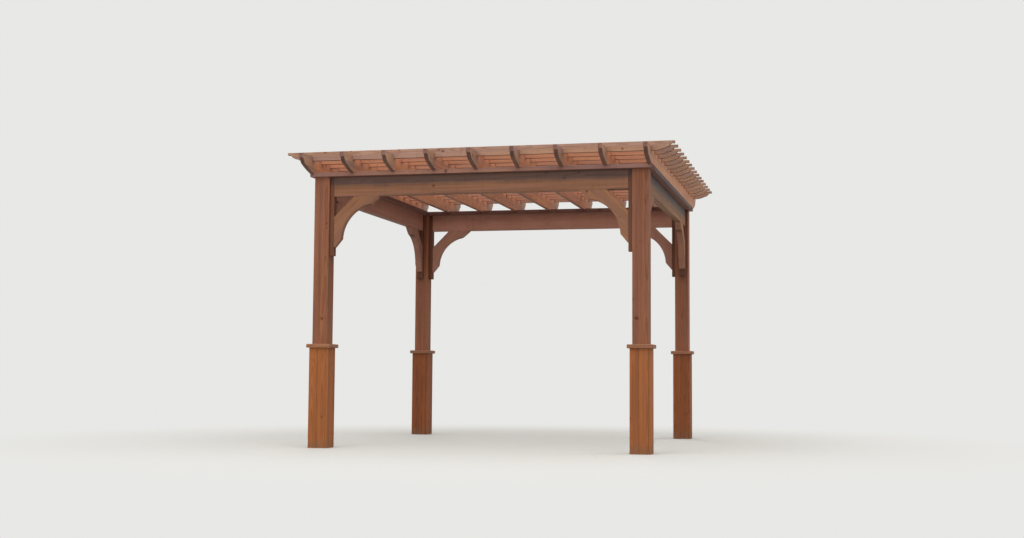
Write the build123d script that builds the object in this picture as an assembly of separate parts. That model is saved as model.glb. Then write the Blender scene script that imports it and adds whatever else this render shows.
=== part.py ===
from build123d import *
import os

# Garden pergola of stained softwood: four posts with boxed feet, a ring of beams with curved
# corner braces, flat plates on top, scroll-ended rafters and slats lapped across them.
# Millimetres. +X is right, +Y is towards the back, +Z is up, and the origin is on the ground
# in the middle of the plan. The front and back halves match, and so do the left and right ones.

# Posts
post_spacing_x = 2950.0        # centre to centre, left to right
post_spacing_y = 3100.0        # centre to centre, front to back
post_side = 144.0              # square section
post_ease = 4.0                # chamfer along the post's arrises

# Boxed feet: two boards nailed to each side of a post, under a mitred cap
wrap_height = 910.0
wrap_board = 20.0              # thickness of a board
wrap_joint = 0.5               # open joint between two boards
wrap_ease = 4.0                # chamfers that make the joints read as grooves
cap_height = 34.0
cap_projection = 21.0          # past the face of the boards
cap_round = 6.0                # rounded upper edge
cap_ease = 2.0                 # lower edge
cap_mitre = 0.6                # open joint at each mitre

# Beams between the posts, set back from their outer faces, and the cleats that they end on
beam_underside = 2300.0
beam_depth = 180.0
beam_thickness = 64.0          # also the width of the cleats and the thickness of the braces
beam_setback = 28.0            # from the outer faces of the posts
beam_ease = 3.0
cleat_thickness = 38.0         # along the beam, against the post
cleat_drop = 545.0             # from the beam's underside, down the post

# Flat plates lying on the beams and the posts
plate_thickness = 38.0
plate_projection = 34.0        # past the outer faces of the posts
plate_inner_reach = 6.0        # past the inner faces of the posts
plate_ease = 2.0

# Corner braces: an arc below, a straight back above, and a pointed tip past a cusp at each end
brace_reach_out = 430.0        # from the cleat, along the beam
brace_reach_down = 466.0       # from the beam, down the cleat
brace_back = 190.0             # where the straight back meets the beam and the cleat
brace_cusp_out = 347.0         # the cusp near the beam, from the cleat
brace_cusp_under = 76.0        # and from the beam
brace_heel_down = 390.0        # the cusp near the cleat, from the beam
brace_heel_side = 70.0         # and from the cleat
brace_arc_radius = 330.0
brace_tip_step = 7.0           # blunt end of each tip
brace_ease = 3.0

# Rafters, front to back, notched down over the plates
rafter_count = 9
rafter_thickness = 38.0
rafter_depth = 154.0
rafter_seat = 12.0             # depth of the notch over a plate
rafter_overhang = 284.0        # from the plate's outer edge to the nose
rafter_nose_height = 44.0      # upright nose of the scroll
rafter_fillet = 24.0           # flat under the nose
rafter_belly_run = 58.0        # full round behind the flat
rafter_belly_drop = 54.0
rafter_belly_swell = 10.0      # how far the round stands out of its chord
rafter_tail_swell = 4.0        # and the long curve from the round to the full depth
rafter_ease = 2.0

# Slats, left to right, lapped half and half with the rafters
slat_count = 16
slat_thickness = 38.0
slat_depth = 80.0
slat_setback = 237.0           # from the rafters' nose to the face of the first slat
slat_overhang = 205.0          # past the outer rafters
slat_nose_height = 22.0
slat_fillet = 32.0
slat_belly_run = 50.0
slat_belly_drop = 36.0
slat_belly_swell = 9.0
slat_tail_run = 72.0           # from the round to the full depth
slat_tail_swell = 3.0
slat_ease = 1.5
slats_per_group = 4
lap_depth = 19.0               # cut from each piece where they cross
lap_clearance = 0.5            # on each side of a lap or a notch

# Places that follow from the sizes above
post_x = post_spacing_x / 2
post_y = post_spacing_y / 2
beam_top = beam_underside + beam_depth
beam_x = post_x + post_side / 2 - beam_setback - beam_thickness / 2
beam_y = post_y + post_side / 2 - beam_setback - beam_thickness / 2
beam_end_x = post_x - post_side / 2 - cleat_thickness
beam_end_y = post_y - post_side / 2 - cleat_thickness
plate_top = beam_top + plate_thickness
plate_width = plate_projection + post_side + plate_inner_reach
plate_edge_x = post_x + post_side / 2 + plate_projection
plate_edge_y = post_y + post_side / 2 + plate_projection
rafter_top = plate_top + rafter_depth - rafter_seat
rafter_bottom = plate_top - rafter_seat
rafter_nose_y = plate_edge_y + rafter_overhang
rafter_x_end = plate_edge_x - rafter_thickness / 2
rafter_pitch = 2 * rafter_x_end / (rafter_count - 1)
rafter_places = [-rafter_x_end + rafter_pitch * i for i in range(rafter_count)]
slat_y_end = rafter_nose_y - slat_setback - slat_thickness / 2
slat_pitch = 2 * slat_y_end / (slat_count - 1)
slat_places = [-slat_y_end + slat_pitch * i for i in range(slat_count)]
lap_floor = rafter_top - lap_depth
slat_bottom = lap_floor - lap_depth
slat_top = slat_bottom + slat_depth
slat_end_x = plate_edge_x + slat_overhang

sides_x = {"left": -1, "right": 1}
sides_y = {"front": -1, "rear": 1}


def save(name, *solids):
    """Write the solids of one node, in the pergola's own frame."""
    shape = solids[0] if len(solids) == 1 else Compound(children=list(solids))
    shape.label = name
    export_step(shape, f"parts/{name}.step")


def block(x0, x1, y0, y1, z0, z1):
    """A plain block between two corners."""
    middle = ((x0 + x1) / 2, (y0 + y1) / 2, (z0 + z1) / 2)
    return Pos(*middle) * Box(abs(x1 - x0), abs(y1 - y0), abs(z1 - z0))


def eased(solid, along, size):
    """Chamfer the edges of a squared timber that run along one axis."""
    return chamfer(solid.edges().filter_by(along), size)


def swelling(start, end, swell):
    """An arc from start to end that stands out of its chord, to the chord's left."""
    a = Vector(*start)
    b = Vector(*end)
    run = b - a
    out = Vector(-run.Y, run.X) * (swell / run.length)
    return ThreePointArc(a, (a + b) * 0.5 + out, b)


def scroll_end(tip, top, foot, bottom, nose, fillet, belly_run, belly_drop, belly_swell, tail_swell):
    """Outline of a scroll end: nose, flat, round, and a long curve to the full depth at the foot."""
    under_nose = top - nose
    round_start = tip - fillet
    round_end = (round_start - belly_run, under_nose - belly_drop)
    Line((tip, top), (tip, under_nose))
    Line((tip, under_nose), (round_start, under_nose))
    swelling((round_start, under_nose), round_end, belly_swell)
    swelling(round_end, (foot, bottom), tail_swell)


def post(x, y):
    """One square post, from the ground to the underside of the plates."""
    half = post_side / 2
    return eased(block(x - half, x + half, y - half, y + half, 0, beam_top), Axis.Z, post_ease)


def base_wrap(x, y):
    """Eight upright boards round the foot of a post.

    The two boards on each side start flush with one corner and stop behind the next side's pair.
    """
    inner = post_side / 2
    outer = inner + wrap_board
    start = -outer
    end = inner - wrap_joint
    seam = (start + end) / 2
    gap = wrap_joint / 2
    boards = []
    for turn in range(4):
        for x0, x1 in ((start, seam - gap), (seam + gap, end)):
            board = eased(block(x0, x1, -outer, -inner, 0, wrap_height), Axis.Z, wrap_ease)
            boards.append(Pos(x, y, 0) * Rot(0, 0, 90 * turn) * board)
    return boards


def base_cap(x, y):
    """Four mitred boards that close the top of a boxed foot and run round the post."""
    inner = post_side / 2
    outer = inner + wrap_board + cap_projection
    gap = cap_mitre / 2
    corners = [(gap - outer, -outer), (outer - gap, -outer), (inner - gap, -inner), (gap - inner, -inner)]
    board = extrude(Polygon(*corners, align=None), cap_height)
    lower, upper = board.edges().filter_by(Axis.X).group_by(Axis.Y)[0].sort_by(Axis.Z)
    board = fillet(upper, cap_round)
    lower = board.edges().filter_by(Axis.X).group_by(Axis.Y)[0].sort_by(Axis.Z)[0]
    board = chamfer(lower, cap_ease)
    return [Pos(x, y, wrap_height) * Rot(0, 0, 90 * turn) * board for turn in range(4)]


def beam_across(side):
    """The front or rear beam, between two cleats."""
    y = side * beam_y
    half = beam_thickness / 2
    beam = block(-beam_end_x, beam_end_x, y - half, y + half, beam_underside, beam_top)
    return eased(beam, Axis.X, beam_ease)


def beam_along(side):
    """The left or right beam, between two cleats."""
    x = side * beam_x
    half = beam_thickness / 2
    beam = block(x - half, x + half, -beam_end_y, beam_end_y, beam_underside, beam_top)
    return eased(beam, Axis.Y, beam_ease)


def cleat(x0, x1, y0, y1):
    """An upright board against the side of a post, from below a brace to the plates."""
    board = block(x0, x1, y0, y1, beam_underside - cleat_drop, beam_top)
    return eased(board, Axis.Z, beam_ease)


def cleats():
    """The cleats at the two ends of each beam, named for the beam."""
    half = beam_thickness / 2
    made = {}
    for name, sy in sides_y.items():
        near = sy * beam_y - half
        far = sy * beam_y + half
        made[f"cleats_{name}"] = [
            cleat(sx * beam_end_x, sx * (beam_end_x + cleat_thickness), near, far) for sx in (-1, 1)]
    for name, sx in sides_x.items():
        near = sx * beam_x - half
        far = sx * beam_x + half
        made[f"cleats_{name}"] = [
            cleat(near, far, sy * beam_end_y, sy * (beam_end_y + cleat_thickness)) for sy in (-1, 1)]
    return made


def plate_across(side):
    """The front or rear plate, which runs over the corners."""
    inner = plate_edge_y - plate_width
    plate = block(-plate_edge_x, plate_edge_x, side * inner, side * plate_edge_y, beam_top, plate_top)
    return eased(plate, Axis.X, plate_ease)


def plate_along(side):
    """The left or right plate, butted between the other two."""
    inner = plate_edge_x - plate_width
    end = plate_edge_y - plate_width
    plate = block(side * inner, side * plate_edge_x, -end, end, beam_top, plate_top)
    return eased(plate, Axis.Y, plate_ease)


def brace_blank():
    """A corner brace in the XZ plane: the cleat is at its left, and the beam is above it."""
    cusp = (brace_cusp_out, -brace_cusp_under)
    heel = (brace_heel_side, -brace_heel_down)
    tip = brace_reach_out
    foot = -brace_reach_down
    step = brace_tip_step
    with BuildSketch(Plane.XZ) as outline:
        with BuildLine():
            Polyline((brace_back, 0), (tip, 0), (tip, -step), cusp)
            RadiusArc(cusp, heel, -brace_arc_radius)
            Polyline(heel, (step, foot), (0, foot), (0, -brace_back), (brace_back, 0))
        make_face()
    square = beam_thickness / 2 - brace_ease
    core = extrude(outline.sketch, square, both=True)
    rim = extrude(Pos(0, -square, 0) * outline.sketch, brace_ease, taper=45)
    return core + rim + mirror(rim, about=Plane.XZ)


def braces():
    """Two braces at each post, named for the beam and then for the end that they stand at."""
    blank = brace_blank()
    made = {}
    for x_name, sx in sides_x.items():
        for y_name, sy in sides_y.items():
            across = blank if sx < 0 else mirror(blank, about=Plane.YZ)
            made[f"brace_{y_name}_{x_name}"] = Pos(sx * beam_end_x, sy * beam_y, beam_underside) * across
            turned = Rot(0, 0, 90) * blank
            along = turned if sy < 0 else mirror(turned, about=Plane.XZ)
            made[f"brace_{x_name}_{y_name}"] = Pos(sx * beam_x, sy * beam_end_y, beam_underside) * along
    return made


def rafter_blank(outer):
    """A rafter in the YZ plane, with scroll ends and the notches over the plates.

    An outer rafter lies on a side plate for its whole length, so its notch runs right through.
    """
    heel = plate_edge_y + lap_clearance
    toe = plate_edge_y - plate_width - lap_clearance
    with BuildPart() as half:
        with BuildSketch(Plane.YZ):
            with BuildLine():
                Line((0, rafter_bottom), (0, rafter_top))
                Line((0, rafter_top), (rafter_nose_y, rafter_top))
                scroll_end(rafter_nose_y, rafter_top, heel, rafter_bottom, rafter_nose_height,
                           rafter_fillet, rafter_belly_run, rafter_belly_drop,
                           rafter_belly_swell, rafter_tail_swell)
                Line((heel, rafter_bottom), (0, rafter_bottom))
            make_face()
        extrude(amount=rafter_thickness / 2, both=True)
    whole = half.part + mirror(half.part, about=Plane.XZ)
    below = whole.faces().filter_by(Axis.X).edges().filter_by(lambda e: e.center().Z < rafter_top)
    whole = chamfer(below, rafter_ease)
    t = rafter_thickness / 2
    if outer:
        return whole - block(-t, t, -heel, heel, rafter_bottom, plate_top)
    for side in (-1, 1):
        whole = whole - block(-t, t, side * toe, side * heel, rafter_bottom, plate_top)
    return whole


def rafter(x, outer):
    """One rafter, with a lap cut in its top edge for each slat."""
    timber = rafter_blank(outer)
    t = rafter_thickness / 2
    half = slat_thickness / 2 + lap_clearance
    laps = [block(-t, t, y - half, y + half, lap_floor, rafter_top) for y in slat_places]
    return Pos(x, 0, 0) * (timber - laps)


def slat_blank():
    """A slat in the XZ plane with scroll ends and a lap for each rafter, centred on Y."""
    full = slat_end_x - slat_fillet - slat_belly_run - slat_tail_run
    with BuildPart() as half:
        with BuildSketch(Plane.XZ):
            with BuildLine():
                Line((0, slat_bottom), (0, slat_top))
                Line((0, slat_top), (slat_end_x, slat_top))
                scroll_end(slat_end_x, slat_top, full, slat_bottom, slat_nose_height, slat_fillet,
                           slat_belly_run, slat_belly_drop, slat_belly_swell, slat_tail_swell)
                Line((full, slat_bottom), (0, slat_bottom))
            make_face()
        extrude(amount=slat_thickness / 2, both=True)
    whole = half.part + mirror(half.part, about=Plane.YZ)
    blank = chamfer(whole.edges().filter_by(Axis.X).group_by(Axis.Z)[-1], slat_ease)
    t = slat_thickness / 2
    wide = rafter_thickness / 2 + lap_clearance
    laps = [block(x - wide, x + wide, -t, t, slat_bottom, lap_floor) for x in rafter_places]
    return blank - laps


def slat_groups():
    """The slats in groups from the front to the back, each slat a solid of its own."""
    blank = slat_blank()
    names = ["slats_front", "slats_front_middle", "slats_rear_middle", "slats_rear"]
    groups = {}
    for i, y in enumerate(slat_places):
        name = names[min(i // slats_per_group, len(names) - 1)]
        groups.setdefault(name, []).append(Pos(0, y, 0) * blank)
    return groups


def main():
    os.makedirs("parts", exist_ok=True)
    for y_name, sy in sides_y.items():
        for x_name, sx in sides_x.items():
            corner = f"{y_name}_{x_name}"
            x = sx * post_x
            y = sy * post_y
            save(f"post_{corner}", post(x, y))
            save(f"base_wrap_{corner}", *base_wrap(x, y))
            save(f"base_cap_{corner}", *base_cap(x, y))
        save(f"beam_{y_name}", beam_across(sy))
        save(f"top_plate_{y_name}", plate_across(sy))
    for x_name, sx in sides_x.items():
        save(f"beam_{x_name}", beam_along(sx))
        save(f"top_plate_{x_name}", plate_along(sx))
    for name, boards in cleats().items():
        save(name, *boards)
    for name, brace in braces().items():
        save(name, brace)
    for i, x in enumerate(rafter_places):
        outer = i in (0, rafter_count - 1)
        save(f"rafter_{i + 1}", rafter(x, outer))
    for name, slats in slat_groups().items():
        save(name, *slats)


main()
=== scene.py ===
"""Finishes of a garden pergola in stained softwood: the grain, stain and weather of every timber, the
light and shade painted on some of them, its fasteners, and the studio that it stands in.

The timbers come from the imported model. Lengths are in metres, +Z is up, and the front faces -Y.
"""

import math
from functools import partial, reduce

import bpy
from mathutils import Matrix, Vector


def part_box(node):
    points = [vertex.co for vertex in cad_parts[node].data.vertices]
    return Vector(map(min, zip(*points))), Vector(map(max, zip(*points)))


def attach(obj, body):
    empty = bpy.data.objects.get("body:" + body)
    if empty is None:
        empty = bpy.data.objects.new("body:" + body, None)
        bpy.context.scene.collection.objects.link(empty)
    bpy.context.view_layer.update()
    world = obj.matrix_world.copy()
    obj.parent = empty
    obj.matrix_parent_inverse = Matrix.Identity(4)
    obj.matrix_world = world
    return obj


bl_info = {
    "name": "Garden Pergola Finishes",
    "version": (1, 0, 0),
    "blender": (4, 5, 0),
    "location": "3D View > Sidebar > Pergola",
    "description": "Stains the timbers of a pergola, drives its fasteners and sets up a studio",
    "category": "Object",
}

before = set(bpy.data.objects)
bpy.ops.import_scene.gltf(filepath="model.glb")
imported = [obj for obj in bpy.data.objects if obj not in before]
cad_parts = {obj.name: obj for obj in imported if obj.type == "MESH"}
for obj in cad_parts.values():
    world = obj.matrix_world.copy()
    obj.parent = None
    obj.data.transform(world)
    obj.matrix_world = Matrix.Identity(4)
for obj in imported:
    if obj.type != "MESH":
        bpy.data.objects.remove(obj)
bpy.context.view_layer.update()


def paint(red, green, blue):
    """A colour as it looks on a screen, from 0 to 255, as the linear colour that a shader takes."""
    linear = []
    for part in (red, green, blue):
        share = part / 255
        linear.append(share / 12.92 if share <= 0.04045 else ((share + 0.055) / 1.055) ** 2.4)
    return tuple(linear)


ALONG_X = Vector((1, 0, 0))
ALONG_Y = Vector((0, 1, 0))
ALONG_Z = Vector((0, 0, 1))
ENDS = ("front", "rear")
FLANKS = ("left", "right")
SIDES = ENDS + FLANKS
CORNERS = ("front_left", "front_right", "rear_left", "rear_right")
BOARDS_A_FOOT = 8
BOARDS_A_CAP = 4
SLATS_A_NODE = 4
SLAT_SEED_STEP = 10
SLAT_THICKNESS = 0.038

# How each kind is cut: its first board's seed, the tree's heart from a board's middle, and its figure
CUTS = {
    "post": {"Seed": 11.0, "Heart": (0.0, 0.02, 0.015), "Checks": 0.8, "Streaks": 1.0},
    "foot": {"Seed": 31.0, "Heart": (0.0, 0.0, 0.06), "Checks": 0.0, "Knots": 0.12},
    "cap": {"Seed": 171.0, "Heart": (0.0, 0.1, 0.05), "Checks": 0.0, "Knots": 0.1},
    "beam": {"Seed": 71.0, "Heart": (0.0, 0.03, 0.05), "Checks": 0.7, "Streaks": 1.25},
    "plate": {"Seed": 81.0, "Heart": (0.0, 0.02, 0.1), "Checks": 0.3},
    "cleat": {"Seed": 191.0, "Heart": (0.0, 0.04, 0.06), "Checks": 0.2, "Knots": 0.1},
    "brace": {"Seed": 91.0, "Heart": (0.0, 0.05, 0.1), "Checks": 0.2},
    # The rafters' end tone darkens their end grain, and its purple cast is painted shade on the noses
    "rafter": {"Seed": 111.0, "Heart": (0.0, 0.08, 0.05), "Checks": 0.2, "End Tone": (0.52, 0.48, 0.55)},
    "slat": {"Seed": 131.0, "Heart": (0.0, 0.06, 0.05), "Checks": 0.1, "End Tone": (1.06, 1.06, 1.0)},
}

# How often each figure repeats in a metre, along the grain and twice across it, or along X, Y and Z
PER_METRE = {
    "wander": (0.8, 4.0, 4.0), "ripple": (3.0, 60.0, 60.0), "fibre": (14.0, 620.0, 620.0),
    "streak": (0.8, 34.0, 34.0), "cloud": (1.6, 5.0, 5.0), "band": (0.45, 17.0, 17.0),
    "check": (0.9, 26.0, 26.0), "checked zone": (1.1, 7.0, 7.0), "patch": (9.0, 9.0, 9.0),
    "run": (42.0, 42.0, 1.1), "speck": (420.0, 420.0, 420.0),
}
KNOT_CELLS_AROUND = 2.6
KNOT_CELLS_PER_METRE = 24.0
KNOT_CELLS_FILLED = 0.12
FIGURE_SCATTER = 40.0
KNOT_SCATTER = 17.0

# How far the rings are moved by the heart's wandering, by ripples and round a knot
HEART_WANDER = 0.07
RIPPLE_WIDTH = 0.0022
SWIRL_WIDTH = 0.016

# Where each effect starts and where it is full and, if it is never quite absent, the shares there
ONSETS = {
    "knot": (0.36, 0.26), "swirl": (0.85, 0.1), "late wood": (0.35, 0.88), "year's end": (1.0, 0.93),
    "band": (0.36, 0.64), "check": (0.009, 0.002), "checked zone": (0.6, 0.68), "end grain": (0.2, 0.85),
    "upward": (0.55, 0.98), "arris": (0.9, 0.75), "inner face": (-0.3, -0.6), "outer face": (0.3, 0.6),
    "underside": (-0.2, -0.7), "past plates": (-0.05, 0.06), "run": (0.52, 0.78), "upright": (0.4, 0.1),
    "splash": (1.0, 0.1), "rubbed": (0.52, 0.7), "bleached patch": (0.2, 0.75, 0.5, 1.0),
    "worn patch": (0.35, 0.7, 0.25, 1.0), "inner painted patch": (0.2, 0.8, 0.8, 1.0),
}

# How strong each effect is where it is full
STRENGTHS = {"cloud": 0.35, "fibre": 0.3, "knot rim": 0.6, "knot": 0.85, "thinned": 0.45, "run": 0.3,
             "splash": 0.4}

# What wood and weather do to the colour of the stain, as factors on it; the underside tint is painted shade
TINTS = {
    "warm": (1.08, 1.03, 0.90), "dull": (0.92, 0.92, 0.97), "late wood": (0.60, 0.50, 0.44),
    "knot": (0.34, 0.24, 0.22), "knot rim": (0.72, 0.58, 0.5), "underside": (0.3, 0.27, 0.34),
    "faded": (0.70, 0.86, 0.98), "run": (0.62, 0.56, 0.54),
}

# Colours that hide the stain, some of them painted light and shade
MARKS = {
    "bleached": paint(176, 148, 126), "thinned": paint(206, 150, 110), "painted_plate_shadow": paint(56, 63, 70),
    "splashed": paint(120, 98, 78), "painted_fill_light": paint(202, 150, 134), "damp": paint(82, 50, 44),
}
OPEN_CHECK = (0.012, 0.006, 0.004)

# How far below the plates their painted shadow begins to show and is full, and how ragged its edge is
END_SHADE_REACH = 0.11
SIDE_SHADE_REACH = 0.14
FULL_SHADE_DEPTH = 0.05
RAGGED_SHADE_EDGE = 0.05

# How high splashes reach from the ground, and how much further in patches
SPLASH_HEIGHT = 0.03
SPLASH_SPREAD = 0.16

# Each lamp's place, the point that it looks at and its width
LAMPS = {
    "top": ((0.5, -5.5, 9.5), (0, 0, 1.5), 8.0),
    "front": ((-2.0, -12.5, 2.6), (0, 0, 1.7), 6.0),
    "side": ((12.0, 1.5, 6.0), (0, 0, 1.6), 5.0),
    "rear": ((-5.0, 11.0, 5.0), (0, 0, 1.6), 5.0),
}


def colour_property(name, description, colour):
    """A colour setting with no alpha."""
    return bpy.props.FloatVectorProperty(
        name=name, description=description, size=3, subtype="COLOR", min=0, max=1, default=colour
    )


def number_property(name, description, default, **details):
    """A number setting, with its unit and limits among the details."""
    return bpy.props.FloatProperty(name=name, description=description, default=default, **details)


share_property = partial(number_property, subtype="FACTOR", min=0, max=1)
length_property = partial(number_property, subtype="DISTANCE", unit="LENGTH", min=0)
angle_property = partial(number_property, subtype="ANGLE", unit="ROTATION")
power_property = partial(number_property, subtype="POWER", min=0)


class PergolaStain(bpy.types.PropertyGroup):
    """The stain on each kind of timber, how the weather has treated it, and the light and shade painted on
    it.
    """

    post: colour_property("Posts", "Stain on the posts", paint(143, 94, 71))
    foot: colour_property("Boxed feet", "Stain on the boards round the posts' feet", paint(161, 100, 60))
    # The rear feet take a darker copy of the foot stain: painted shade
    shaded_rear_foot: colour_property("Rear feet", "Stain on the rear feet, in the shade", paint(144, 86, 54))
    cap: colour_property("Base caps", "Stain on the caps of the boxed feet", paint(153, 108, 83))
    beam: colour_property("Beams", "Stain on the beams", paint(146, 104, 81))
    # The right beam takes its own, a little darker copy of the beam stain, set for how the side light falls
    # on it: painted light
    right_beam: colour_property("Right beam", "Stain on the beam at the right", paint(138, 101, 74))
    plate: colour_property("Top plates", "Stain on the flat plates", paint(146, 109, 99))
    # The cleats take a darker brown than the other timbers
    cleat: colour_property("Cleats", "Stain on the boards that the beams end on", paint(108, 72, 57))
    brace: colour_property("Braces", "Stain on the corner braces", paint(144, 103, 80))
    rafter: colour_property("Rafters", "Stain on the rafters", paint(203, 147, 121))
    slat: colour_property("Slats", "Stain on the slats", paint(192, 138, 112))
    grain: share_property("Grain", "How strongly the growth rings show through the stain", 0.5)
    knots: share_property("Knots", "How many of the possible knots are there", 0.3)
    bleach: share_property("Bleaching", "How far the sun has paled the faces that look up", 0.45)
    # Edge wear also serves as a painted highlight along the arrises
    wear: share_property("Edge wear", "How far the stain has thinned along the arrises", 0.5)
    fade: share_property("Fading", "How far the overhanging ends have lost their red", 1.0)
    # A pale colour on the inner faces of beams and braces: painted fill light
    dust: share_property("Dust", "How much pale dust lies on the beams' inner faces", 0.6)
    # A dark colour on the plates' inner edges: painted shade
    damp: share_property("Damp", "How dark the plates' inner edges have become", 0.8)
    # A dark band on outer faces below the plates: painted shadow
    shelter: share_property("Shelter", "How dark the front and rear have stayed under the plates", 0.54)
    side_shelter: share_property("Side shelter", "The same for the left and the right", 0.72)


class PergolaFasteners(bpy.types.PropertyGroup):
    """Sizes of the screws and brads whose heads show."""

    screw_radius: length_property("Screw head radius", "Radius of the heads of the frame's screws", 0.0055)
    brad_radius: length_property("Brad head radius", "Radius of the heads of the brads in the feet", 0.0022)
    proud: length_property("Proud", "How far a head stands out of the timber", 0.0005)
    plate_step: length_property("Plate screw spacing", "Between the screws down the plates", 0.62)


class PergolaStudio(bpy.types.PropertyGroup):
    """The camera, the lamps and the floor."""

    camera_place: bpy.props.FloatVectorProperty(
        name="Camera place", description="Where the camera stands", size=3, subtype="TRANSLATION",
        unit="LENGTH", default=(3.1972, -13.4832, 0.6723)
    )
    camera_heading: angle_property("Heading", "How far the camera is turned from +Y towards -X", 0.2372)
    camera_pitch: angle_property("Pitch", "How far the camera looks up", 0.0767)
    camera_roll: angle_property("Roll", "How far the camera leans", 0.0067)
    focal_length: number_property(
        "Focal length", "The lens, in millimetres on a 36 mm wide sensor", 48.52,
        subtype="DISTANCE_CAMERA", min=1
    )
    floor_colour: colour_property("Floor", "The pale floor", paint(200, 199, 196))
    backdrop_colour: colour_property("Backdrop", "The pale backdrop", paint(232, 232, 230))
    sky_zenith: number_property("Sky overhead", "Strength of the light from straight above", 1.2, min=0)
    sky_horizon: number_property("Sky at the horizon", "Strength of the light from the sides", 0.66, min=0)
    top_light: power_property("Top light", "Power of the large soft lamp above the front", 420)
    front_light: power_property("Front light", "Power of the low soft lamp in front", 330)
    side_light: power_property("Side light", "Power of the soft lamp at the right", 250)
    rear_light: power_property("Rear light", "Power of the soft lamp behind", 260)


def add_node(tree, kind, inputs=None, **settings):
    """A shader node. Each input takes a value or another node's output socket."""
    made = tree.nodes.new(kind)
    for name, value in settings.items():
        setattr(made, name, value)
    for name, value in (inputs or {}).items():
        socket = made.inputs[name]
        if isinstance(value, bpy.types.NodeSocket):
            tree.links.new(value, socket)
        elif socket.type == "RGBA":
            socket.default_value = (*value[:3], 1)
        else:
            socket.default_value = value
    return made


def reckon(tree, operation, *terms, clamp=False):
    """The result of one Math node."""
    made = add_node(tree, "ShaderNodeMath", dict(enumerate(terms)), operation=operation, use_clamp=clamp)
    return made.outputs[0]


def total(tree, *terms):
    """The sum of values."""
    return reduce(partial(reckon, tree, "ADD"), terms)


def product(tree, *terms):
    """The product of values."""
    return reduce(partial(reckon, tree, "MULTIPLY"), terms)


def difference(tree, first, second):
    """One value less another."""
    return reckon(tree, "SUBTRACT", first, second)


def weighted(tree, base, *shares):
    """A value plus others, each times its weight."""
    return total(tree, base, *(product(tree, value, weight) for value, weight in shares))


def centred(tree, value, span):
    """A value from 0 to 1, spread evenly round zero over a span."""
    return product(tree, difference(tree, value, 0.5), span)


def reckon_vector(tree, operation, *terms, result=0):
    """The result of one Vector Math node."""
    made = add_node(tree, "ShaderNodeVectorMath", dict(enumerate(terms)), operation=operation)
    return made.outputs[result]


def vector_sum(tree, *terms):
    """The sum of vectors."""
    return reduce(partial(reckon_vector, tree, "ADD"), terms)


def stretched(tree, vector, factors):
    """A vector or a colour, with each of its parts times a factor of its own."""
    return reckon_vector(tree, "MULTIPLY", vector, factors)


def scaled(tree, vector, factor):
    """A vector or a colour times one factor."""
    inputs = {"Vector": vector, "Scale": factor}
    return add_node(tree, "ShaderNodeVectorMath", inputs, operation="SCALE").outputs[0]


def split(tree, vector):
    """The three parts of a vector."""
    return add_node(tree, "ShaderNodeSeparateXYZ", {"Vector": vector}).outputs


def joined(tree, x=0.0, y=0.0, z=0.0):
    """A vector from its three parts."""
    return add_node(tree, "ShaderNodeCombineXYZ", {"X": x, "Y": y, "Z": z}).outputs[0]


def ramp(tree, value, low, high, start=0.0, end=1.0):
    """A smooth step of a value between low and high."""
    inputs = {"Value": value, "From Min": low, "From Max": high, "To Min": start, "To Max": end}
    made = add_node(tree, "ShaderNodeMapRange", inputs, interpolation_type="SMOOTHSTEP")
    return made.outputs["Result"]


def onset(tree, value, kind):
    """How fully an effect shows, from none to one."""
    return ramp(tree, value, *ONSETS[kind])


def noise(tree, vector, detail=2.0, roughness=0.5, output="Fac"):
    """Noise with cells one unit wide."""
    inputs = {"Vector": vector, "Scale": 1.0, "Detail": detail, "Roughness": roughness}
    return add_node(tree, "ShaderNodeTexNoise", inputs).outputs[output]


def figure(tree, place, kind, detail=2.0, roughness=0.5, output="Fac"):
    """Noise with as many cells in a metre as its kind has."""
    return noise(tree, stretched(tree, place, PER_METRE[kind]), detail, roughness, output)


def blend_colours(tree, share, first, second):
    """Two colours mixed by a share."""
    made = add_node(tree, "ShaderNodeMix", data_type="RGBA")
    for index, value in ((0, share), (6, first), (7, second)):
        socket = made.inputs[index]
        if isinstance(value, bpy.types.NodeSocket):
            tree.links.new(value, socket)
        else:
            socket.default_value = (*value[:3], 1)
    return made.outputs[2]


def tint(tree, share, colour, kind, source=None):
    """A colour blended by a share with the tinted source, or with itself tinted."""
    source = colour if source is None else source
    return blend_colours(tree, share, colour, stretched(tree, source, TINTS[kind]))


def shared_group(name, inputs, outputs, build):
    """A node group that is built once. The function gets its inputs and returns its results in order."""
    if name in bpy.data.node_groups:
        return bpy.data.node_groups[name]
    tree = bpy.data.node_groups.new(name, "ShaderNodeTree")
    for socket_name, kind, default in inputs:
        socket = tree.interface.new_socket(socket_name, in_out="INPUT", socket_type="NodeSocket" + kind)
        if default is not None:
            socket.default_value = (*default, 1) if kind == "Color" else default
    for socket_name, kind in outputs:
        tree.interface.new_socket(socket_name, in_out="OUTPUT", socket_type="NodeSocket" + kind)
    results = build(tree, tree.nodes.new("NodeGroupInput").outputs)
    sink = tree.nodes.new("NodeGroupOutput")
    for socket, value in zip(sink.inputs, results):
        tree.links.new(value, socket)
    return tree


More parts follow.
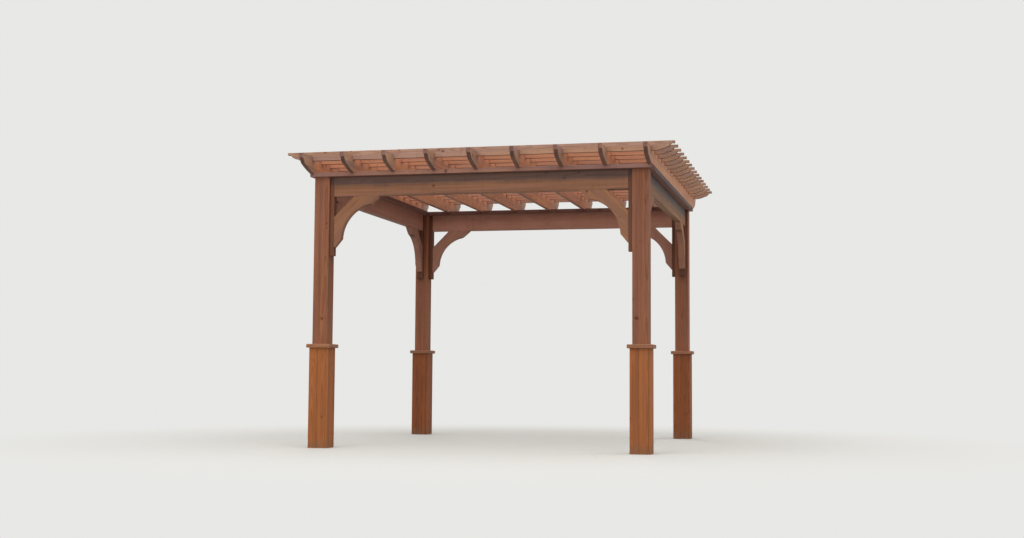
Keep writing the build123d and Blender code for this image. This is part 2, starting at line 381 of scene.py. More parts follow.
def timber_nodes(tree, given):
    """The colour, roughness and height of a sawn timber."""
    chance = add_node(tree, "ShaderNodeTexWhiteNoise", {"W": given["Seed"]}, noise_dimensions="1D").outputs
    even = (0.5, 0.5, 0.5)
    place = vector_sum(tree, given["Vector"], scaled(tree, chance["Color"], FIGURE_SCATTER))

    # Distance from the heart of the tree, which wanders along the grain
    wander = reckon_vector(tree, "SUBTRACT", figure(tree, place, "wander", 1.0, output="Color"), even)
    wander = scaled(tree, wander, HEART_WANDER)
    scatter = scaled(tree, reckon_vector(tree, "SUBTRACT", chance["Color"], even), given["Heart Scatter"])
    from_heart = reckon_vector(tree, "SUBTRACT", given["Vector"], given["Heart"])
    across = stretched(tree, vector_sum(tree, from_heart, scatter, wander), (0.0, 1.0, 1.0))
    radius = reckon_vector(tree, "LENGTH", across, result=1)

    # Knots grow straight out from the heart, and the wood swirls round them
    spokes = scaled(tree, reckon_vector(tree, "NORMALIZE", across), KNOT_CELLS_AROUND)
    steps = joined(tree, product(tree, split(tree, place)["X"], KNOT_CELLS_PER_METRE))
    knot_at = vector_sum(tree, spokes, steps, scaled(tree, chance["Color"], KNOT_SCATTER))
    cells = add_node(tree, "ShaderNodeTexVoronoi", {"Vector": knot_at, "Scale": 1.0}).outputs
    pick = add_node(tree, "ShaderNodeSeparateColor", {"Color": cells["Color"]}).outputs["Red"]
    chosen = reckon(tree, "LESS_THAN", pick, product(tree, given["Knots"], KNOT_CELLS_FILLED))
    knot = product(tree, onset(tree, cells["Distance"], "knot"), chosen)
    swirl = product(tree, onset(tree, cells["Distance"], "swirl"), chosen)

    # Late wood at the end of each year's growth
    ringed = weighted(tree, radius, (figure(tree, place, "ripple"), RIPPLE_WIDTH), (swirl, SWIRL_WIDTH))
    ring = reckon(tree, "FRACT", reckon(tree, "DIVIDE", ringed, given["Ring Width"]))
    late = product(tree, onset(tree, ring, "late wood"), onset(tree, ring, "year's end"))

    # Fibres, streaks, broad bands, and drying checks in some zones
    fibre = figure(tree, place, "fibre", 2.0, 0.6)
    streak = figure(tree, place, "streak", 3.0, 0.6)
    cloud = figure(tree, place, "cloud")
    band = onset(tree, figure(tree, place, "band", 1.0), "band")
    from_check = reckon(tree, "ABSOLUTE", difference(tree, figure(tree, place, "check", 1.0), 0.5))
    zone = onset(tree, figure(tree, place, "checked zone", 0.0), "checked zone")
    check = product(tree, onset(tree, from_check, "check"), zone, given["Checks"])
    end = onset(tree, reckon(tree, "ABSOLUTE", split(tree, given["Normal"])["X"]), "end grain")

    tones = ((chance["Value"], given["Tone Spread"]), (streak, given["Streaks"]),
             (cloud, STRENGTHS["cloud"]), (fibre, STRENGTHS["fibre"]))
    lightness = total(tree, *(centred(tree, value, span) for value, span in tones), 1.0)
    lit = scaled(tree, given["Stain"], lightness)
    lit = tint(tree, band, stretched(tree, lit, TINTS["dull"]), "warm", lit)
    colour = tint(tree, product(tree, late, given["Grain"]), lit, "late wood")
    colour = tint(tree, product(tree, swirl, STRENGTHS["knot rim"]), colour, "knot rim", lit)
    colour = tint(tree, product(tree, knot, STRENGTHS["knot"]), colour, "knot", lit)
    colour = blend_colours(tree, end, colour, stretched(tree, colour, given["End Tone"]))
    colour = blend_colours(tree, check, colour, OPEN_CHECK)

    rough = weighted(tree, 0.52, (fibre, 0.16), (end, 0.16), (knot, -0.14))
    height = weighted(tree, product(tree, fibre, 0.35), (late, 0.22), (check, -2.4), (knot, 0.3))
    return colour, rough, height


def timber_group():
    """Growth rings, fibres, knots and checks of a sawn timber whose grain runs along X."""
    inputs = [
        ("Vector", "Vector", None), ("Normal", "Vector", None), ("Seed", "Float", 0.0),
        ("Stain", "Color", (0.4, 0.15, 0.06)), ("Grain", "Float", 0.5), ("Knots", "Float", 0.3),
        ("Checks", "Float", 0.3), ("Heart", "Vector", (0.0, 0.0, 0.12)), ("Heart Scatter", "Float", 0.05),
        ("Ring Width", "Float", 0.0045), ("Tone Spread", "Float", 0.12), ("Streaks", "Float", 0.62),
        ("End Tone", "Vector", (0.46, 0.42, 0.42)),
    ]
    outputs = [("Color", "Color"), ("Roughness", "Float"), ("Height", "Float")]
    return shared_group("Sawn timber", inputs, outputs, timber_nodes)


def weather_light_nodes(tree, given):
    """The colour and roughness that the weather leaves, with painted light and shade."""
    facing = split(tree, given["Normal"])
    where = split(tree, given["Position"])
    steep = {axis: reckon(tree, "ABSOLUTE", facing[axis]) for axis in "XYZ"}
    patches = figure(tree, given["Position"], "patch", 4.0, 0.6)

    # Bleaching on top, and stain worn thin along the arrises, which also paints a highlight there
    upward = onset(tree, facing["Z"], "upward")
    bleached = product(tree, upward, onset(tree, patches, "bleached patch"), given["Bleach"])
    colour = blend_colours(tree, bleached, given["Color"], MARKS["bleached"])
    squareness = reduce(partial(reckon, tree, "MAXIMUM"), steep.values())
    thinned = product(tree, onset(tree, squareness, "arris"), onset(tree, patches, "worn patch"),
                      given["Wear"], STRENGTHS["thinned"])
    colour = blend_colours(tree, thinned, colour, MARKS["thinned"])

    # Painted light and shade on faces that look towards the middle, downwards, and outwards under the
    # plates
    sideways = stretched(tree, given["Normal"], (1.0, 1.0, 0.0))
    outwardness = reckon_vector(tree, "DOT_PRODUCT", sideways, given["Position"], result=1)
    inner_face = onset(tree, outwardness, "inner face")
    inside = product(tree, inner_face, given["Inside"], onset(tree, patches, "inner painted patch"))
    colour = blend_colours(tree, inside, colour, given["Inside Color"])
    # Painted shade on faces that look downwards
    below = product(tree, onset(tree, facing["Z"], "underside"), given["Underside"])
    colour = tint(tree, below, colour, "underside")
    # Painted shadow on outer faces below the plates, with a ragged edge
    height = total(tree, where["Z"], centred(tree, patches, RAGGED_SHADE_EDGE))
    painted_plate_shadow = ramp(tree, height, given["Shelter From"], given["Shelter To"])
    painted_plate_shadow = product(tree, painted_plate_shadow, given["Shelter"], onset(tree, outwardness, "outer face"))
    colour = blend_colours(tree, painted_plate_shadow, colour, MARKS["painted_plate_shadow"])

    # Fading on top and past the plates
    roof = split(tree, given["Under Roof"])
    beyond = [difference(tree, reckon(tree, "ABSOLUTE", where[axis]), roof[axis]) for axis in "XY"]
    past = [onset(tree, length, "past plates") for length in beyond]
    open_to_sky = reckon(tree, "MAXIMUM", reckon(tree, "MAXIMUM", *past), upward)
    colour = tint(tree, product(tree, open_to_sky, given["Fade"]), colour, "faded")

    # Dark runs down upright faces, and splashes near the ground
    runs = onset(tree, figure(tree, given["Position"], "run", 3.0, 0.6), "run")
    runs = product(tree, runs, onset(tree, steep["Z"], "upright"), STRENGTHS["run"])
    colour = tint(tree, runs, colour, "run")
    splash_height = weighted(tree, SPLASH_HEIGHT, (patches, SPLASH_SPREAD))
    splash = onset(tree, reckon(tree, "DIVIDE", where["Z"], splash_height), "splash")
    splash = product(tree, splash, STRENGTHS["splash"])
    colour = blend_colours(tree, splash, colour, MARKS["splashed"])

    rough = weighted(tree, given["Roughness"], (bleached, 0.25))
    rough = reckon(tree, "ADD", rough, product(tree, splash, 0.2), clamp=True)
    return colour, rough


def weather_light_group():
    """Sun, rain and splashes on a stained surface, and painted light and shade, by where it is and which
    way it faces.
    """
    inputs = [
        ("Color", "Color", (0.4, 0.15, 0.06)), ("Roughness", "Float", 0.6), ("Position", "Vector", None),
        ("Normal", "Vector", None), ("Bleach", "Float", 0.4), ("Wear", "Float", 0.5),
        ("Shelter", "Float", 0.0), ("Shelter From", "Float", 2.37), ("Shelter To", "Float", 2.43),
        ("Fade", "Float", 0.0), ("Under Roof", "Vector", (1.6, 1.6, 0.0)), ("Inside", "Float", 0.0),
        ("Inside Color", "Color", (0.5, 0.3, 0.2)), ("Underside", "Float", 0.0),
    ]
    return shared_group("Weather", inputs, [("Color", "Color"), ("Roughness", "Float")], weather_light_nodes)


def row_nodes(tree, given):
    """The place in the nearest board of the row, and the board's number."""
    x, y, z = split(tree, given["Vector"])
    steps = reckon(tree, "DIVIDE", difference(tree, y, given["First"]), given["Spacing"])
    number = reckon(tree, "ROUND", steps)
    local = product(tree, difference(tree, steps, number), given["Spacing"])
    return joined(tree, x, local, z), number


def ring_nodes(tree, given):
    """The place in a board that stands round a post, and the board's number."""
    x, y, z = split(tree, given["Vector"])
    below = partial(reckon, tree, "LESS_THAN")
    above = partial(reckon, tree, "GREATER_THAN")
    near = given["Inner"]
    far = product(tree, near, -1.0)
    front = product(tree, below(y, far), below(x, near))
    right = product(tree, above(x, near), below(y, near))
    rear = product(tree, above(y, near), above(x, far))
    left = product(tree, below(x, far), above(y, far))
    front_or_rear = difference(tree, front, rear)
    right_or_left = difference(tree, right, left)
    along = total(tree, product(tree, front_or_rear, x), product(tree, right_or_left, y))
    outward = difference(tree, product(tree, right_or_left, x), product(tree, front_or_rear, y))
    second = above(along, given["Seam"])
    from_seam = difference(tree, along, given["Seam"])
    across = difference(tree, from_seam, centred(tree, second, given["Width"]))
    number = weighted(tree, right, (rear, 2.0), (left, 3.0), (second, 4.0))
    return joined(tree, z, across, difference(tree, outward, near)), number


def mitre_nodes(tree, given):
    """The place in one of four mitred boards, and the board's number."""
    x, y, z = split(tree, given["Vector"])
    size_x = reckon(tree, "ABSOLUTE", x)
    sideways = reckon(tree, "GREATER_THAN", size_x, reckon(tree, "ABSOLUTE", y))
    swap = product(tree, sideways, difference(tree, y, x))
    across = difference(tree, y, swap)
    number = weighted(tree, reckon(tree, "GREATER_THAN", across, 0.0), (sideways, 2.0))
    return joined(tree, total(tree, x, swap), across, z), number


BOARD_OUTPUTS = [("Vector", "Vector"), ("Number", "Float")]


def row_group():
    """A row of like boards along Y, each seen from its own middle and with its own number."""
    inputs = [("Vector", "Vector", None), ("First", "Float", 0.0), ("Spacing", "Float", 1.0)]
    return shared_group("Row of boards", inputs, BOARD_OUTPUTS, row_nodes)


def ring_group():
    """Pairs of upright boards round a post, each seen from its own middle and with its own number.

    Each side's pair starts flush with one corner and stops at the inner face of the next side's.
    """
    inputs = [("Vector", "Vector", None), ("Inner", "Float", 0.07), ("Seam", "Float", 0.0),
              ("Width", "Float", 0.08)]
    return shared_group("Boards round a post", inputs, BOARD_OUTPUTS, ring_nodes)


def mitre_group():
    """Four mitred boards round a post, each with its grain along its own side and its own number."""
    return shared_group("Mitred boards", [("Vector", "Vector", None)], BOARD_OUTPUTS, mitre_nodes)


def single_timber(tree, place, seed, grain, across, centre):
    """The place, the facing and the seed of one straight timber, with its grain brought onto X."""
    first = grain.normalized()
    second = (across - first * across.dot(first)).normalized()
    turn = Matrix((first, second, first.cross(second)))
    rotation = turn.to_euler("XYZ")
    inputs = {"Vector": place["Object"], "Rotation": rotation, "Location": -(turn @ centre)}
    local = add_node(tree, "ShaderNodeMapping", inputs)
    inputs = {"Vector": place["Normal"], "Rotation": rotation}
    facing = add_node(tree, "ShaderNodeMapping", inputs, vector_type="VECTOR")
    return local.outputs[0], facing.outputs[0], seed


def row_of_boards(tree, place, seed, centre, first, spacing):
    """The same for boards along X that stand in a row along Y."""
    inputs = {"Vector": place["Object"], "First": first, "Spacing": spacing}
    boards = add_node(tree, "ShaderNodeGroup", inputs, node_tree=row_group()).outputs
    inputs = {"Vector": boards["Vector"], "Location": (-centre.x, 0, -centre.z)}
    local = add_node(tree, "ShaderNodeMapping", inputs).outputs[0]
    return local, place["Normal"], total(tree, boards["Number"], seed)


def boards_round_post(tree, place, seed, centre, group, **sizes):
    """The same for boards that stand or lie round a post, by one of the two groups for them."""
    inputs = {"Vector": place["Object"], "Location": -centre}
    local = add_node(tree, "ShaderNodeMapping", inputs).outputs[0]
    boards = add_node(tree, "ShaderNodeGroup", {"Vector": local, **sizes}, node_tree=group).outputs
    return boards["Vector"], (0.0, 0.0, 0.0), total(tree, boards["Number"], seed)


def new_material(name):
    """An empty material and its node tree."""
    material = bpy.data.materials.new(name)
    material.use_nodes = True
    material.node_tree.nodes.clear()
    return material, material.node_tree


def middle(node):
    """The middle of a CAD node's box."""
    low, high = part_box(node)
    return (low + high) / 2


def half_width(node):
    """Half a CAD node's size from left to right."""
    low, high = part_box(node)
    return (high.x - low.x) / 2


def finish_node(node, kind, number, settings, layout, weathering_and_light=None, stain=None):
    """Gives one CAD node its own stained timber.

    The number tells its board from others of the kind and the layout finds its grain. The weathering and
    painted light are inputs of that group, and stain names the setting if it isn't the kind's own.
    """
    material, tree = new_material(node)
    place = add_node(tree, "ShaderNodeTexCoord").outputs
    cut = CUTS[kind]
    local, facing, seed = layout(tree, place, cut["Seed"] + number)
    wood = add_node(tree, "ShaderNodeGroup", {
        "Knots": settings.knots, **cut, "Vector": local, "Normal": facing, "Seed": seed,
        "Stain": getattr(settings, stain or kind), "Grain": settings.grain,
    }, node_tree=timber_group()).outputs
    weathered_and_lit = add_node(tree, "ShaderNodeGroup", {
        "Color": wood["Color"], "Roughness": wood["Roughness"], "Position": place["Object"],
        "Normal": place["Normal"], "Bleach": settings.bleach, "Wear": settings.wear, **(weathering_and_light or {}),
    }, node_tree=weather_light_group()).outputs
    bump = add_node(tree, "ShaderNodeBump", {"Height": wood["Height"], "Distance": 0.0006, "Strength": 0.8})
    shader = add_node(tree, "ShaderNodeBsdfPrincipled", {
        "Base Color": weathered_and_lit["Color"], "Roughness": weathered_and_lit["Roughness"],
        "Normal": bump.outputs["Normal"], "Specular IOR Level": 0.12,
    })
    add_node(tree, "ShaderNodeOutputMaterial", {"Surface": shader.outputs[0]})
    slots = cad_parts[node].data.materials
    slots.clear()
    slots.append(material)


def stain_node(node, kind, number, grain, across, settings, weathering_and_light=None, stain=None):
    """Stains a CAD node that is one straight timber."""
    layout = partial(single_timber, grain=grain, across=across, centre=middle(node))
    finish_node(node, kind, number, settings, layout, weathering_and_light, stain)


def inner_fill_light(settings, share):
    """Painted fill light on timbers under the roof: the faces that look inwards are lightened."""
    return {"Inside": settings.dust * share, "Inside Color": MARKS["painted_fill_light"]}


def plate_shade_inputs(share, depth):
    """Painted shadow on the outer faces that the plates overhang, down to a depth below them."""
    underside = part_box("top_plate_front")[0].z
    return {"Shelter": share, "Shelter From": underside - depth, "Shelter To": underside - FULL_SHADE_DEPTH}


def roof_weather_and_shade(settings, underside):
    """The weathering of the roof: its upper faces and what stands past the plates have faded, and its
    undersides are darkened by a share, as painted shade.
    """
    reach = (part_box("top_plate_front")[1].x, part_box("top_plate_rear")[1].y, 0.0)
    return {"Fade": settings.fade, "Under Roof": reach, "Underside": underside}


class PERGOLA_OT_posts(bpy.types.Operator):
    """Stain the four posts, which are cut round the heart of the tree"""

    bl_idname = "pergola.posts"
    bl_label = "Posts"

    def execute(self, context):
        for number, corner in enumerate(CORNERS):
            stain_node(f"post_{corner}", "post", number, ALONG_Z, ALONG_X, context.scene.pergola_stain)
        return {"FINISHED"}


def foot_sizes(corner):
    """How far the boards' inner and outer faces lie from a boxed foot's middle, where the seam between
    the two boards of a side is, and how wide a board is.
    """
    inner = half_width(f"post_{corner}")
    outer = half_width(f"base_wrap_{corner}")
    return inner, outer, (inner - outer) / 2, (outer + inner) / 2


class PERGOLA_OT_feet(bpy.types.Operator):
    """Stain the boards of the boxed feet"""

    bl_idname = "pergola.feet"
    bl_label = "Boxed feet"

    def execute(self, context):
        for number, corner in enumerate(CORNERS):
            node = f"base_wrap_{corner}"
            inner, _, seam, width = foot_sizes(corner)
            layout = partial(boards_round_post, centre=middle(node), group=ring_group(),
                             Inner=inner, Seam=seam, Width=width)
            # The rear feet take the darker copy of the foot stain: painted shade
            finish_node(node, "foot", BOARDS_A_FOOT * number, context.scene.pergola_stain, layout,
                        stain="shaded_rear_foot" if corner.startswith("rear") else None)
        return {"FINISHED"}


class PERGOLA_OT_caps(bpy.types.Operator):
    """Stain the caps of the boxed feet"""

    bl_idname = "pergola.caps"
    bl_label = "Base caps"

    def execute(self, context):
        for number, corner in enumerate(CORNERS):
            node = f"base_cap_{corner}"
            layout = partial(boards_round_post, centre=middle(node), group=mitre_group())
            finish_node(node, "cap", BOARDS_A_CAP * number, context.scene.pergola_stain, layout)
        return {"FINISHED"}


class PERGOLA_OT_beams(bpy.types.Operator):
    """Stain the beams and the flat plates that lie on them"""

    bl_idname = "pergola.beams"
    bl_label = "Beams and plates"

    def execute(self, context):
        settings = context.scene.pergola_stain
        for number, side in enumerate(SIDES):
            # Beams get painted fill light on their inner faces and a painted shadow under the plates;
            # plates get painted shade on their inner edges and, at the sides, on their outer edges
            beam_weather_and_light = inner_fill_light(settings, 1.0)
            plate_painted_shade = {"Inside": settings.damp, "Inside Color": MARKS["damp"]}
            if side in ENDS:
                grain, across = ALONG_X, ALONG_Y
                beam_weather_and_light.update(plate_shade_inputs(settings.shelter, END_SHADE_REACH))
            else:
                grain, across = ALONG_Y, ALONG_X
                beam_weather_and_light.update(plate_shade_inputs(settings.side_shelter, SIDE_SHADE_REACH))
                plate_painted_shade.update(plate_shade_inputs(settings.side_shelter, SIDE_SHADE_REACH))
            # The right beam takes its own copy of the beam stain: painted light
            stain_node(f"beam_{side}", "beam", number, grain, across, settings, beam_weather_and_light,
                       stain="right_beam" if side == "right" else None)
            stain_node(f"top_plate_{side}", "plate", number, grain, across, settings, plate_painted_shade)
        return {"FINISHED"}


class PERGOLA_OT_cleats(bpy.types.Operator):
    """Stain the upright boards that the beams end on"""

    bl_idname = "pergola.cleats"
    bl_label = "Cleats"

    def execute(self, context):
        settings = context.scene.pergola_stain
        for number, side in enumerate(SIDES):
            # The cleats get a painted shadow on their outer faces under the plates
            stain_node(f"cleats_{side}", "cleat", number, ALONG_Z, ALONG_X, settings,
                       plate_shade_inputs(settings.shelter, END_SHADE_REACH))
        return {"FINISHED"}


class PERGOLA_OT_braces(bpy.types.Operator):
    """Stain the corner braces, whose grain runs along their straight backs"""

    bl_idname = "pergola.braces"
    bl_label = "Corner braces"

    def execute(self, context):
        settings = context.scene.pergola_stain
        # Painted fill light on the braces' inner faces, by this share
        fill_light_share = 0.7
        number = 0
        for along, across, ends, sides in (
            (ALONG_X, ALONG_Y, FLANKS, ENDS), (ALONG_Y, ALONG_X, ENDS, FLANKS)
        ):
            for end, slope in zip(ends, (ALONG_Z, -ALONG_Z)):
                for side in sides:
                    stain_node(f"brace_{side}_{end}", "brace", number, along + slope, across, settings,
                               inner_fill_light(settings, fill_light_share))
                    number += 1
        return {"FINISHED"}


class PERGOLA_OT_rafters(bpy.types.Operator):
    """Stain the rafters"""

    bl_idname = "pergola.rafters"
    bl_label = "Rafters"

    def execute(self, context):
        settings = context.scene.pergola_stain
        # Painted shade on the rafters' undersides, by this share
        underside_shade_share = 0.6
        rafters = sorted(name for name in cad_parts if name.startswith("rafter_"))
        for number, node in enumerate(rafters):
            stain_node(node, "rafter", number, ALONG_Y, ALONG_X, settings,
                       roof_weather_and_shade(settings, underside_shade_share))
        return {"FINISHED"}


class PERGOLA_OT_slats(bpy.types.Operator):
    """Stain the slats, each a board of its own"""

    bl_idname = "pergola.slats"
    bl_label = "Slats"

    def execute(self, context):
        settings = context.scene.pergola_stain
        # Painted shade on the slats' undersides, by this share
        underside_shade_share = 0.55
        groups = sorted(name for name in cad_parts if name.startswith("slats_"))
        for number, node in enumerate(groups):
            low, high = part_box(node)
            spacing = (high.y - low.y - SLAT_THICKNESS) / (SLATS_A_NODE - 1)
            layout = partial(row_of_boards, centre=middle(node), first=low.y + SLAT_THICKNESS / 2,
                             spacing=spacing)
            finish_node(node, "slat", SLAT_SEED_STEP * number, settings, layout,
                        roof_weather_and_shade(settings, underside_shade_share))
        return {"FINISHED"}


def screw_material():
    """Brown coated steel, rubbed bright in places."""
    material, tree = new_material("coated_steel")
    place = add_node(tree, "ShaderNodeTexCoord").outputs["Object"]
    speck = figure(tree, place, "speck", 3.0, 0.6)
    rubbed = onset(tree, speck, "rubbed")
    bump = add_node(tree, "ShaderNodeBump", {"Height": speck, "Distance": 0.0001, "Strength": 0.5})
    shader = add_node(tree, "ShaderNodeBsdfPrincipled", {
        "Base Color": blend_colours(tree, rubbed, paint(78, 58, 46), paint(138, 116, 98)),
        "Roughness": weighted(tree, 0.55, (rubbed, -0.2)), "Metallic": product(tree, rubbed, 0.8),
        "Normal": bump.outputs["Normal"],
    })
    add_node(tree, "ShaderNodeOutputMaterial", {"Surface": shader.outputs[0]})
    return material


def driven_head(name, radius, proud, sides):
    """The head of a screw or a brad that faces up, with a rounded rim and a recess in its middle."""
    sunk = 0.3 * radius
    bpy.ops.object.select_all(action="DESELECT")
    bpy.ops.mesh.primitive_cylinder_add(
        vertices=sides, radius=radius, depth=proud + sunk, location=(0, 0, (proud - sunk) / 2)
    )
    head = bpy.context.object
    head.name = name
    bpy.ops.object.transform_apply(location=True, rotation=True, scale=True)
    bpy.ops.object.mode_set(mode="EDIT")
    bpy.ops.mesh.select_mode(type="FACE")
    bpy.ops.mesh.select_all(action="DESELECT")
    bpy.ops.object.mode_set(mode="OBJECT")
    for face in head.data.polygons:
        face.select = face.normal.z > 0.9
    bpy.ops.object.mode_set(mode="EDIT")
    rim, flat, wall = 0.3 * radius, 0.3 * radius, 0.1 * radius
    for inwards, rise in ((rim, proud * 0.5), (flat, 0), (wall, -proud)):
        bpy.ops.mesh.inset(thickness=inwards, depth=rise)
    bpy.ops.object.mode_set(mode="OBJECT")
    return head


def drive_heads(name, radius, proud, sides, places):
    """Copies one head to every place and direction, and joins the copies into one piece."""
    model = driven_head(name, radius, proud, sides)
    copies = []
    for place, outward in places:
        copy = model.copy()
        copy.data = model.data.copy()
        copy.location = place
        copy.rotation_euler = Vector(outward).to_track_quat("Z", "Y").to_euler()
        bpy.context.collection.objects.link(copy)
        copies.append(copy)
    bpy.data.objects.remove(model)
    bpy.ops.object.select_all(action="DESELECT")
    for copy in copies:
        copy.select_set(True)
    bpy.context.view_layer.objects.active = copies[0]
    bpy.ops.object.transform_apply(location=True, rotation=True, scale=True)
    bpy.ops.object.join()
    piece = bpy.context.object
    piece.name = name
    piece.data.materials.append(screw_material())
    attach(piece, "root")


def run_of(side):
    """The axis that a side's timbers run along, 0 for X and 1 for Y."""
    return 0 if side in ENDS else 1


def cleat_screw_places():
    """Two screws side by side near the foot of each cleat, on the face that looks along the beam."""
    above_end = 0.032
    aside = 0.014
    places = []
    for side in SIDES:
        along = run_of(side)
        beam_low, beam_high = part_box(f"beam_{side}")
        for end, sign in ((beam_low[along], 1), (beam_high[along], -1)):
            for offset in (-aside, aside):
                place = middle(f"cleats_{side}")
                place[1 - along] += offset
                place[along] = end
                place.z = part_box(f"cleats_{side}")[0].z + above_end
                places.append((place, sign * (ALONG_X, ALONG_Y)[along]))
    return places


def brace_screw_places():
    """A screw through each pointed tip of each brace, square to the slope under the tip."""
    tip = (Vector((0.388, 0, -0.0415)), Vector((0.64, 0, -0.768)))
    heel = (Vector((0.0385, 0, -0.428)), Vector((0.77, 0, -0.638)))
    places = []
    for side in SIDES:
        along = run_of(side)
        for end, sign in zip((FLANKS, ENDS)[along], (1, -1)):
            low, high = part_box(f"brace_{side}_{end}")
            corner = (low + high) / 2
            corner[along] = low[along] if sign > 0 else high[along]
            corner.z = high.z
            for slope_middle, slope in (tip, heel):
                place = corner.copy()
                place[along] += sign * slope_middle.x
                place.z += slope_middle.z
                outward = Vector((0, 0, slope.z))
                outward[along] = sign * slope.x
                places.append((place, outward))
    return places


def plate_screw_places(step):
    """Screws down through the plates into the beams, between the rafters."""
    places = []
    for side in SIDES:
        along = run_of(side)
        beam_low, beam_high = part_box(f"beam_{side}")
        span = beam_high[along] - beam_low[along]
        count = int(span / step)
        for index in range(count):
            place = (beam_low + beam_high) / 2
            place[along] = beam_low[along] + (index + 0.5) * span / count
            place.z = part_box(f"top_plate_{side}")[1].z
            places.append((place, ALONG_Z))
    return places


def rafter_screw_places():
    """Screws on both sides of each rafter, by the front and rear plates that they go down into."""
    above_plate = 0.024
    aside = 0.04
    places = []
    for node in sorted(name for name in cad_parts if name.startswith("rafter_")):
        low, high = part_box(node)
        for side in ENDS:
            plate_low, plate_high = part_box(f"top_plate_{side}")
            middle_y = (plate_low.y + plate_high.y) / 2
            height = plate_high.z + above_plate
            places.append((Vector((low.x, middle_y - aside, height)), -ALONG_X))
            places.append((Vector((high.x, middle_y + aside, height)), ALONG_X))
    return places


def foot_brad_places():
    """Brads in pairs up each board of the boxed feet."""
    heights = (0.06, 0.32, 0.6, 0.86)
    aside = 0.026
    places = []
    for corner in CORNERS:
        centre = middle(f"base_wrap_{corner}")
        _, outer, seam, width = foot_sizes(corner)
        for turn in range(4):
            spin = Matrix.Rotation(math.radians(90 * turn), 3, "Z")
            for board in (seam - width / 2, seam + width / 2):
                for offset in (-aside, aside):
                    place = centre + spin @ Vector((board + offset, -outer, 0))
                    for height in heights:
                        places.append((Vector((place.x, place.y, height)), spin @ -ALONG_Y))
    return places


class PERGOLA_OT_fasteners(bpy.types.Operator):
    """Drive the screws of the frame and the brads of the boxed feet"""

    bl_idname = "pergola.fasteners"
    bl_label = "Screws and brads"

    def execute(self, context):
        sizes = context.scene.pergola_fasteners
        screw_sides = 12
        brad_sides = 8
        for name, places, slot in (
            ("cleat_screws", cleat_screw_places(), "cleat_wood"),
            ("brace_screws", brace_screw_places(), "brace_wood"),
            ("plate_screws", plate_screw_places(sizes.plate_step), "top_plate_wood"),
            ("rafter_screws", rafter_screw_places(), "rafter_wood"),
        ):
            drive_heads(name, sizes.screw_radius, sizes.proud, screw_sides, places)
        drive_heads("foot_brads", sizes.brad_radius, sizes.proud, brad_sides, foot_brad_places())
        return {"FINISHED"}


def floor_material(settings):
    """A pale floor that keeps the shadow near the pergola and fades into the backdrop further off."""
    bounce_share = 0.45
    grit_share = 0.08
    plain_to = 2.4
    gone_from = 6.0
    material, tree = new_material("studio_floor")
    place = add_node(tree, "ShaderNodeTexCoord").outputs["Object"]
    path = add_node(tree, "ShaderNodeLightPath").outputs
    shown = reckon(tree, "MAXIMUM", path["Is Camera Ray"], path["Is Glossy Ray"])
    grit = product(tree, noise(tree, place, 3.0), grit_share)
    pale = blend_colours(tree, grit, settings.floor_colour, paint(196, 194, 190))
    dim = tuple(part * bounce_share for part in settings.floor_colour)
    diffuse = add_node(tree, "ShaderNodeBsdfDiffuse", {"Color": blend_colours(tree, shown, dim, pale)})
    glow = add_node(tree, "ShaderNodeEmission", {"Color": settings.backdrop_colour, "Strength": 1.0})
    distance = reckon_vector(tree, "LENGTH", place, result=1)
    gone = product(tree, ramp(tree, distance, plain_to, gone_from), shown)
    mixed = add_node(tree, "ShaderNodeMixShader", {0: gone, 1: diffuse.outputs[0], 2: glow.outputs[0]})
    add_node(tree, "ShaderNodeOutputMaterial", {"Surface": mixed.outputs[0]})
    return material


def build_world(settings):
    """Even light from all around, with the backdrop's colour wherever the camera sees it."""
    low_sky = 0.3
    high_sky = 0.95
    world = bpy.data.worlds.new("studio_world")
    bpy.context.scene.world = world
    world.use_nodes = True
    tree = world.node_tree
    tree.nodes.clear()
    path = add_node(tree, "ShaderNodeLightPath").outputs
    shown = reckon(tree, "MAXIMUM", path["Is Camera Ray"], path["Is Transmission Ray"])
    height = split(tree, add_node(tree, "ShaderNodeTexCoord").outputs["Generated"])["Z"]
    strength = ramp(tree, height, low_sky, high_sky, settings.sky_horizon, settings.sky_zenith)
    light = add_node(tree, "ShaderNodeBackground", {"Color": (1.0, 0.99, 0.96), "Strength": strength})
    drop = add_node(tree, "ShaderNodeBackground", {"Color": settings.backdrop_colour, "Strength": 1.0})
    mixed = add_node(tree, "ShaderNodeMixShader", {0: shown, 1: light.outputs[0], 2: drop.outputs[0]})
    add_node(tree, "ShaderNodeOutputWorld", {"Surface": mixed.outputs[0]})


def soft_lamp(name, place, target, size, power):
    """A large square lamp that looks at a point."""
    bpy.ops.object.light_add(type="AREA", location=place)
    lamp = bpy.context.object
    lamp.name = name
    lamp.data.shape = "SQUARE"
    lamp.data.size = size
    lamp.data.energy = power
    towards = Vector(target) - Vector(place)
    lamp.rotation_euler = towards.to_track_quat("-Z", "Y").to_euler()


def place_camera(settings):
    """The camera, from its place, heading, pitch and roll."""
    heading = settings.camera_heading
    pitch = settings.camera_pitch
    roll = settings.camera_roll
    ahead = Vector((-math.sin(heading), math.cos(heading), 0))
    level = Vector((math.cos(heading), math.sin(heading), 0))
    forward = ahead * math.cos(pitch) + ALONG_Z * math.sin(pitch)
    upward = ALONG_Z * math.cos(pitch) - ahead * math.sin(pitch)
    right = level * math.cos(roll) + upward * math.sin(roll)
    top = upward * math.cos(roll) - level * math.sin(roll)
    bpy.ops.object.camera_add(location=settings.camera_place)
    camera = bpy.context.object
    camera.name = "camera"
    camera.rotation_euler = Matrix((right, top, -forward)).transposed().to_euler()
    camera.data.sensor_width = 36
    camera.data.lens = settings.focal_length
    camera.data.clip_start = 0.1
    camera.data.clip_end = 500
    camera.data.dof.use_dof = False
    bpy.context.scene.camera = camera


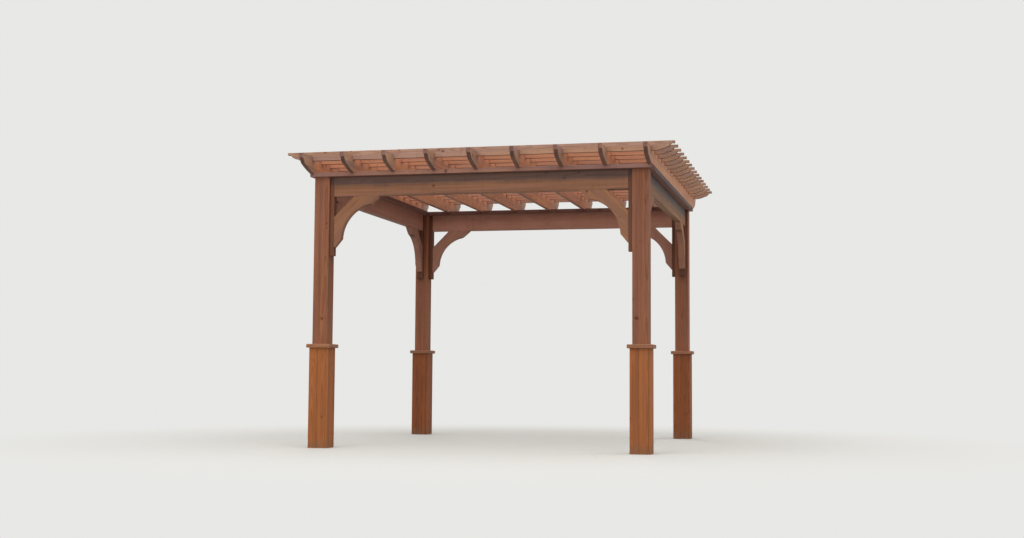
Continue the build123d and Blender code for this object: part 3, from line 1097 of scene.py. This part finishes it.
class PERGOLA_OT_studio(bpy.types.Operator):
    """Set up the floor, the backdrop, the lamps and the camera"""

    bl_idname = "pergola.studio"
    bl_label = "Studio"

    def execute(self, context):
        settings = context.scene.pergola_studio
        floor_radius = 80
        bpy.ops.object.select_all(action="DESELECT")
        bpy.ops.mesh.primitive_circle_add(vertices=96, radius=floor_radius, fill_type="NGON")
        floor = context.object
        floor.name = "studio_floor"
        floor.data.materials.append(floor_material(settings))
        build_world(settings)
        for name, (place, target, size) in LAMPS.items():
            soft_lamp(f"{name}_lamp", place, target, size, getattr(settings, f"{name}_light"))
        place_camera(settings)
        context.scene.view_settings.view_transform = "Standard"
        return {"FINISHED"}


class PERGOLA_PT_panel(bpy.types.Panel):
    """Lists the pergola's steps and settings"""

    bl_idname = "PERGOLA_PT_panel"
    bl_label = "Pergola"
    bl_space_type = "VIEW_3D"
    bl_region_type = "UI"
    bl_category = "Pergola"

    def draw(self, context):
        for operator in OPERATORS:
            self.layout.operator(operator.bl_idname)
        scene = context.scene
        for settings in (scene.pergola_stain, scene.pergola_fasteners, scene.pergola_studio):
            for name in settings.__annotations__:
                self.layout.prop(settings, name)


OPERATORS = (
    PERGOLA_OT_posts, PERGOLA_OT_feet, PERGOLA_OT_caps, PERGOLA_OT_beams, PERGOLA_OT_cleats,
    PERGOLA_OT_braces, PERGOLA_OT_rafters, PERGOLA_OT_slats, PERGOLA_OT_fasteners, PERGOLA_OT_studio,
)
CLASSES = (PergolaStain, PergolaFasteners, PergolaStudio, *OPERATORS, PERGOLA_PT_panel)


def register():
    for item in CLASSES:
        bpy.utils.register_class(item)
    bpy.types.Scene.pergola_stain = bpy.props.PointerProperty(type=PergolaStain)
    bpy.types.Scene.pergola_fasteners = bpy.props.PointerProperty(type=PergolaFasteners)
    bpy.types.Scene.pergola_studio = bpy.props.PointerProperty(type=PergolaStudio)


def unregister():
    del bpy.types.Scene.pergola_studio
    del bpy.types.Scene.pergola_fasteners
    del bpy.types.Scene.pergola_stain
    for item in reversed(CLASSES):
        bpy.utils.unregister_class(item)


def main():
    register()
    bpy.ops.pergola.studio()
    bpy.ops.pergola.posts()
    bpy.ops.pergola.feet()
    bpy.ops.pergola.caps()
    bpy.ops.pergola.beams()
    bpy.ops.pergola.cleats()
    bpy.ops.pergola.braces()
    bpy.ops.pergola.rafters()
    bpy.ops.pergola.slats()
    bpy.ops.pergola.fasteners()


if __name__ == "__main__":
    main()
